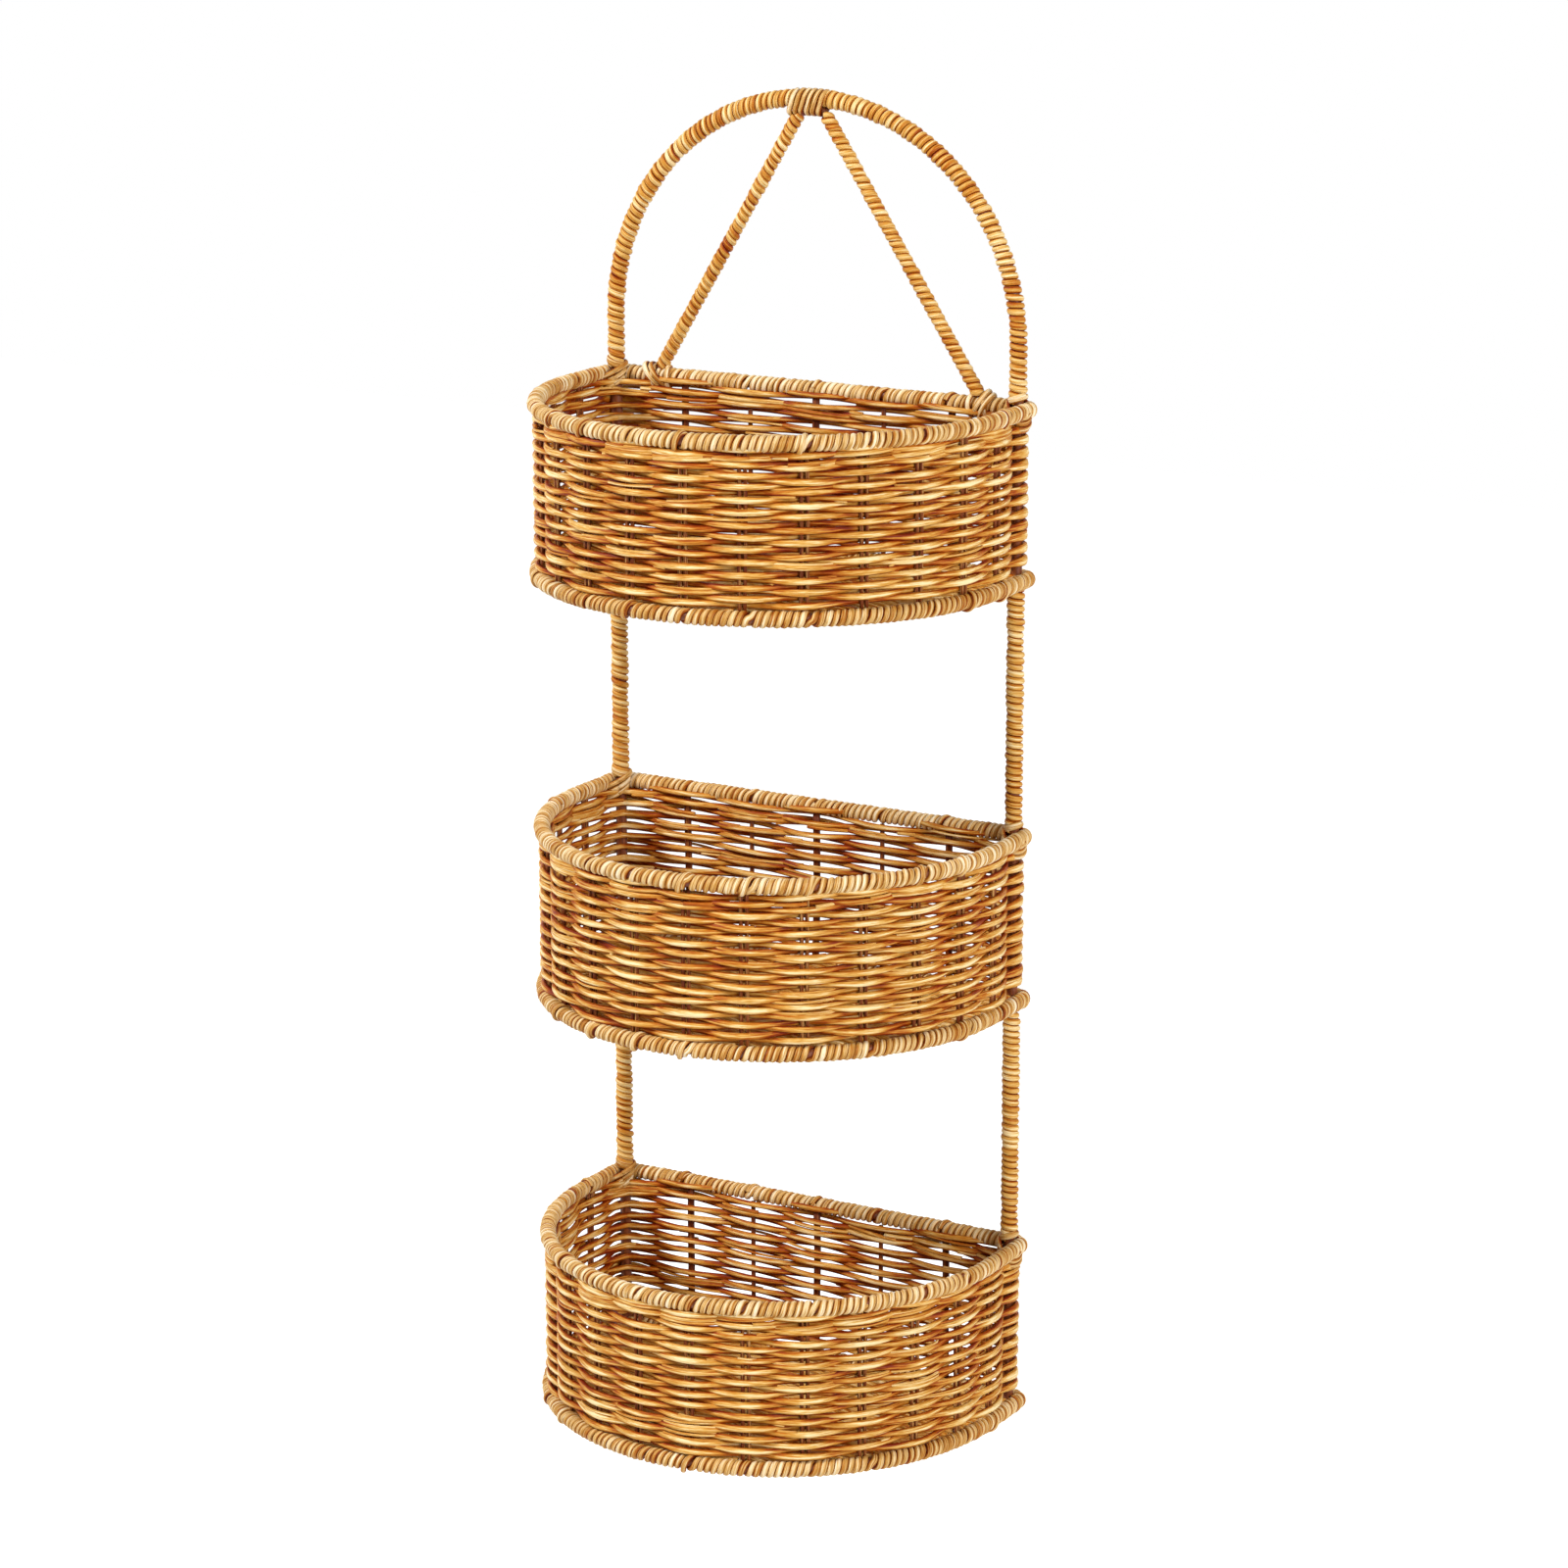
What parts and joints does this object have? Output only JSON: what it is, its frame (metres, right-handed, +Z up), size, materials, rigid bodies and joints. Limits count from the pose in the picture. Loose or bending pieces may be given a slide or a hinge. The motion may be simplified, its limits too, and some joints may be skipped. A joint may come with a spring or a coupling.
{
  "type": "three-tier rattan wall basket",
  "caption": "Tall wall basket: an arched hanging frame with a V brace carries half-moon baskets one above another, all woven and bound in natural rattan.",
  "frame": {"origin": "the hanging point: the underside of the lashing that ties the top of the V brace to the top of the arch", "axes": "+X to the viewer's right along the wall, -Y out of the wall into the room, +Z up"},
  "size_m": [0.2664, 0.1777, 0.7004],
  "materials": {
    "steel": "dark brown, matt",
    "gold_strand": "natural rattan core, golden tan, satin",
    "pale_strand": "natural rattan, pale straw, satin",
    "cane": "reddish brown rattan cane, satin"
  },
  "bodies": {
    "root": {"frame_rod": "steel", "left_arch_wrap": "gold_strand", "right_arch_wrap": "gold_strand", "left_upper_leg_wrap": "gold_strand", "right_upper_leg_wrap": "gold_strand", "left_lower_leg_wrap": "gold_strand", "right_lower_leg_wrap": "gold_strand", "brace_rod": "steel", "left_brace_wrap": "gold_strand", "right_brace_wrap": "gold_strand", "apex_lashing": "pale_strand", "left_brace_lashing": "pale_strand", "right_brace_lashing": "pale_strand", "top_rim_wire": "steel", "top_rim_wrap": "pale_strand", "top_base_wire": "steel", "top_base_wrap": "pale_strand", "top_cane_stakes": "cane", "top_wire_stakes": "steel", "top_wall_weave": "gold_strand", "top_floor_ribs": "steel", "top_floor_weave": "gold_strand", "top_left_corner_lashing": "pale_strand", "top_right_corner_lashing": "pale_strand", "middle_rim_wire": "steel", "middle_rim_wrap": "pale_strand", "middle_base_wire": "steel", "middle_base_wrap": "pale_strand", "middle_cane_stakes": "cane", "middle_wire_stakes": "steel", "middle_wall_weave": "gold_strand", "middle_floor_ribs": "steel", "middle_floor_weave": "gold_strand", "middle_left_corner_lashing": "pale_strand", "middle_right_corner_lashing": "pale_strand", "bottom_rim_wire": "steel", "bottom_rim_wrap": "pale_strand", "bottom_base_wire": "steel", "bottom_base_wrap": "pale_strand", "bottom_cane_stakes": "cane", "bottom_wire_stakes": "steel", "bottom_wall_weave": "gold_strand", "bottom_floor_ribs": "steel", "bottom_floor_weave": "gold_strand", "bottom_left_corner_lashing": "pale_strand", "bottom_right_corner_lashing": "pale_strand"}
  },
  "joints": []
}
